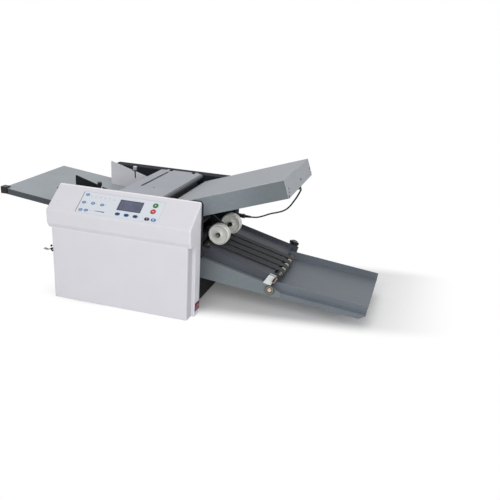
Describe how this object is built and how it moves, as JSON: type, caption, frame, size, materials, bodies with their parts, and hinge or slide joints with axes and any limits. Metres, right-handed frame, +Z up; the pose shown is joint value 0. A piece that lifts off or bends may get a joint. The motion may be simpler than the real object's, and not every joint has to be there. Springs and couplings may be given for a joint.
{
  "type": "paper folding machine",
  "caption": "Desktop paper folding machine with a sloped feed table, slanted fold plate, stacker wheels and a belt conveyor with a pull-out tray.",
  "frame": {"origin": "on the table, under the middle of the overall length and depth", "axes": "+X along the paper's travel, from the feed table to the conveyor's pull-out tray; +Y from the operator's side to the rear; +Z up"},
  "size_m": [1.1358, 0.5129, 0.4093],
  "materials": {
    "cover_white": "fine satin moulding",
    "sheet_light": "satin powder coat",
    "sheet_grey": "satin powder coat",
    "sheet_charcoal": "satin powder coat",
    "sheet_black": "satin powder coat",
    "overlay_film": "satin film",
    "display_glass": "clear window over a grey display",
    "key_green": "gloss",
    "key_red": "gloss",
    "key_black": "gloss",
    "key_blue": "gloss",
    "switch_black": "gloss",
    "plastic_black": "satin",
    "rubber_black": "matt",
    "roller_rubber": "ground matt",
    "roller_steel": "ground",
    "gear_nylon": "satin",
    "motor_paint": "satin",
    "belt_rubber": "matt",
    "wheel_nylon": "satin",
    "zinc": "bright zinc",
    "knob_steel": "turned",
    "spring_steel": "rolled",
    "cord_pvc": "satin"
  },
  "bodies": {
    "machine": {"base_pan": "sheet_black", "rubber_feet": "rubber_black", "side_frame_front": "sheet_charcoal", "side_frame_rear": "sheet_charcoal", "rear_cover": "sheet_charcoal", "mains_inlet": "plastic_black", "control_cover": "cover_white", "front_panel": "cover_white", "keypad_overlay": "overlay_film", "display_window": "display_glass", "feed_table": "sheet_grey", "table_corner_cap": "plastic_black", "main_motor": "motor_paint", "drive_belt": "belt_rubber", "fold_plate_top_sheet": "sheet_light", "fold_plate_frame": "sheet_grey", "cord_gland": "rubber_black", "lower_fold_plate": "sheet_charcoal", "cord_socket": "plastic_black", "cord_plug": "plastic_black", "plate_cord": "cord_pvc", "conveyor_bed": "sheet_charcoal", "conveyor_belts": "belt_rubber", "extension_bracket": "zinc", "conveyor_rail_front": "sheet_light", "conveyor_rail_rear": "sheet_light"},
    "feed_head": {"feed_head_cover": "sheet_light"},
    "feed_roller": {"feed_roller": "roller_rubber"},
    "fold_roller_1": {"fold_roller_1": "roller_rubber", "fold_gear_1": "gear_nylon"},
    "fold_roller_2": {"fold_roller_2": "roller_rubber", "fold_gear_2": "gear_nylon"},
    "fold_roller_3": {"fold_roller_3": "roller_rubber", "fold_gear_3": "gear_nylon"},
    "fold_roller_4": {"fold_roller_4": "roller_rubber", "fold_gear_4": "gear_nylon"},
    "motor_pulley": {"motor_pulley": "roller_steel"},
    "exit_roller": {"exit_roller": "roller_rubber"},
    "paper_stop": {"paper_stop": "sheet_black"},
    "plate_latch": {"plate_latch": "spring_steel"},
    "wheel_arm": {"wheel_arm": "sheet_black"},
    "stacker_wheel_front": {"stacker_wheel_front": "wheel_nylon"},
    "stacker_wheel_rear": {"stacker_wheel_rear": "wheel_nylon"},
    "belt_drive_roller": {"belt_drive_roller": "roller_steel"},
    "belt_end_roller": {"belt_end_roller": "roller_steel"},
    "conveyor_extension": {"conveyor_extension": "sheet_grey"},
    "extension_lock_knob": {"extension_lock_knob": "knob_steel"},
    "extension_clamp_knob": {"extension_clamp_knob": "plastic_black"},
    "side_guide_front": {"side_guide_front": "sheet_black"},
    "side_guide_rear": {"side_guide_rear": "sheet_light"},
    "guide_knob_front": {"guide_knob_front": "plastic_black"},
    "guide_knob_rear": {"guide_knob_rear": "knob_steel"},
    "power_rocker": {"power_rocker": "switch_black"},
    "start_key": {"start_key": "key_green"},
    "stop_key": {"stop_key": "key_red"},
    "reset_key": {"reset_key": "key_black"},
    "test_key": {"test_key": "key_blue"},
    "soft_key_left": {"soft_key_left": "key_blue"},
    "soft_key_middle": {"soft_key_middle": "key_blue"},
    "soft_key_right": {"soft_key_right": "key_blue"}
  },
  "joints": [
    {"name": "fold_roller_1_spin", "type": "hinge", "parent": "machine", "child": "fold_roller_1", "pos_m": [-0.07522, 0.0405, 0.27016], "axis": [0, 1, 0], "continuous": true},
    {"name": "fold_roller_2_spin", "type": "hinge", "parent": "machine", "child": "fold_roller_2", "pos_m": [-0.06278, 0.0405, 0.23384], "axis": [0, 1, 0], "continuous": true},
    {"name": "fold_roller_3_spin", "type": "hinge", "parent": "machine", "child": "fold_roller_3", "pos_m": [-0.0267, 0.0405, 0.2207], "axis": [0, 1, 0], "continuous": true},
    {"name": "fold_roller_4_spin", "type": "hinge", "parent": "machine", "child": "fold_roller_4", "pos_m": [-0.03336, 0.0405, 0.18288], "axis": [0, 1, 0], "continuous": true},
    {"name": "feed_roller_spin", "type": "hinge", "parent": "machine", "child": "feed_roller", "pos_m": [-0.153, 0.0405, 0.272], "axis": [0, 1, 0], "continuous": true},
    {"name": "exit_roller_spin", "type": "hinge", "parent": "machine", "child": "exit_roller", "pos_m": [0.037, 0.0405, 0.168], "axis": [0, 1, 0], "continuous": true},
    {"name": "motor_pulley_spin", "type": "hinge", "parent": "machine", "child": "motor_pulley", "pos_m": [-0.053, 0.2395, 0.075], "axis": [0, 1, 0], "continuous": true},
    {"name": "head_cover_hinge", "type": "hinge", "parent": "machine", "child": "feed_head", "pos_m": [-0.113, 0.2115, 0.311], "axis": [-1, 0, 0], "range_deg": [0, 80]},
    {"name": "paper_stop_slide", "type": "slide", "parent": "machine", "child": "paper_stop", "axis": [0.9461, 0, 0.3239], "range_m": [-0.16, 0.135]},
    {"name": "plate_latch_pivot", "type": "hinge", "parent": "machine", "child": "plate_latch", "pos_m": [-0.41071, -0.1015, 0.0973], "axis": [0, 1, 0], "range_deg": [-60, 10]},
    {"name": "wheel_arm_pivot", "type": "hinge", "parent": "machine", "child": "wheel_arm", "pos_m": [0.052, 0.0355, 0.232], "axis": [0, -1, 0], "range_deg": [0, 25]},
    {"name": "stacker_wheel_front_spin", "type": "hinge", "parent": "wheel_arm", "child": "stacker_wheel_front", "pos_m": [0.1036, -0.0215, 0.1988], "axis": [0, 1, 0], "continuous": true},
    {"name": "stacker_wheel_rear_spin", "type": "hinge", "parent": "wheel_arm", "child": "stacker_wheel_rear", "pos_m": [0.1036, 0.0925, 0.1988], "axis": [0, 1, 0], "continuous": true},
    {"name": "belt_drive_roller_spin", "type": "hinge", "parent": "machine", "child": "belt_drive_roller", "pos_m": [0.07201, 0.0405, 0.16153], "axis": [0, 1, 0], "continuous": true},
    {"name": "belt_end_roller_spin", "type": "hinge", "parent": "machine", "child": "belt_end_roller", "pos_m": [0.29769, 0.0405, 0.10359], "axis": [0, 1, 0], "continuous": true},
    {"name": "extension_slide", "type": "slide", "parent": "machine", "child": "conveyor_extension", "axis": [0.9952, 0, -0.0976], "range_m": [-0.18, 0]},
    {"name": "extension_lock_turn", "type": "hinge", "parent": "machine", "child": "extension_lock_knob", "pos_m": [0.291, -0.1195, 0.088], "axis": [0, 1, 0], "range_deg": [-180, 180]},
    {"name": "extension_clamp_turn", "type": "hinge", "parent": "machine", "child": "extension_clamp_knob", "pos_m": [0.28982, 0.1845, 0.13328], "axis": [0.2487, 0, 0.9686], "range_deg": [-180, 180]},
    {"name": "side_guide_front_slide", "type": "slide", "parent": "machine", "child": "side_guide_front", "axis": [0, 1, 0], "range_m": [-0.035, 0.05]},
    {"name": "side_guide_rear_slide", "type": "slide", "parent": "machine", "child": "side_guide_rear", "axis": [0, 1, 0], "range_m": [-0.05, 0.035]},
    {"name": "guide_knob_front_turn", "type": "hinge", "parent": "side_guide_front", "child": "guide_knob_front", "pos_m": [-0.26, -0.0765, 0.318], "axis": [0, 0, 1], "range_deg": [-180, 180]},
    {"name": "guide_knob_rear_turn", "type": "hinge", "parent": "side_guide_rear", "child": "guide_knob_rear", "pos_m": [-0.26, 0.1575, 0.318], "axis": [0, 0, 1], "range_deg": [-180, 180]},
    {"name": "power_rocker_tip", "type": "hinge", "parent": "machine", "child": "power_rocker", "pos_m": [0.097, -0.1955, 0.038], "axis": [0, -1, 0], "range_deg": [0, 14]},
    {"name": "start_key_press", "type": "slide", "parent": "machine", "child": "start_key", "axis": [0, 0.5967, -0.8025], "range_m": [0, 0.0008], "stiffness_N_per_m": 400},
    {"name": "stop_key_press", "type": "slide", "parent": "machine", "child": "stop_key", "axis": [0, 0.5967, -0.8025], "range_m": [0, 0.0008], "stiffness_N_per_m": 400},
    {"name": "reset_key_press", "type": "slide", "parent": "machine", "child": "reset_key", "axis": [0, 0.5967, -0.8025], "range_m": [0, 0.0008], "stiffness_N_per_m": 400},
    {"name": "test_key_press", "type": "slide", "parent": "machine", "child": "test_key", "axis": [0, 0.5967, -0.8025], "range_m": [0, 0.0008], "stiffness_N_per_m": 400},
    {"name": "soft_key_left_press", "type": "slide", "parent": "machine", "child": "soft_key_left", "axis": [0, 0.5967, -0.8025], "range_m": [0, 0.0008], "stiffness_N_per_m": 400},
    {"name": "soft_key_middle_press", "type": "slide", "parent": "machine", "child": "soft_key_middle", "axis": [0, 0.5967, -0.8025], "range_m": [0, 0.0008], "stiffness_N_per_m": 400},
    {"name": "soft_key_right_press", "type": "slide", "parent": "machine", "child": "soft_key_right", "axis": [0, 0.5967, -0.8025], "range_m": [0, 0.0008], "stiffness_N_per_m": 400}
  ],
  "couplings": [
    {"joint": "fold_roller_2_spin", "follows": "fold_roller_1_spin", "ratio": -1},
    {"joint": "fold_roller_3_spin", "follows": "fold_roller_1_spin", "ratio": 1},
    {"joint": "fold_roller_4_spin", "follows": "fold_roller_1_spin", "ratio": -1},
    {"joint": "motor_pulley_spin", "follows": "fold_roller_1_spin", "ratio": -1.4615},
    {"joint": "exit_roller_spin", "follows": "fold_roller_1_spin", "ratio": -1.2667},
    {"joint": "belt_end_roller_spin", "follows": "belt_drive_roller_spin", "ratio": 1}
  ]
}
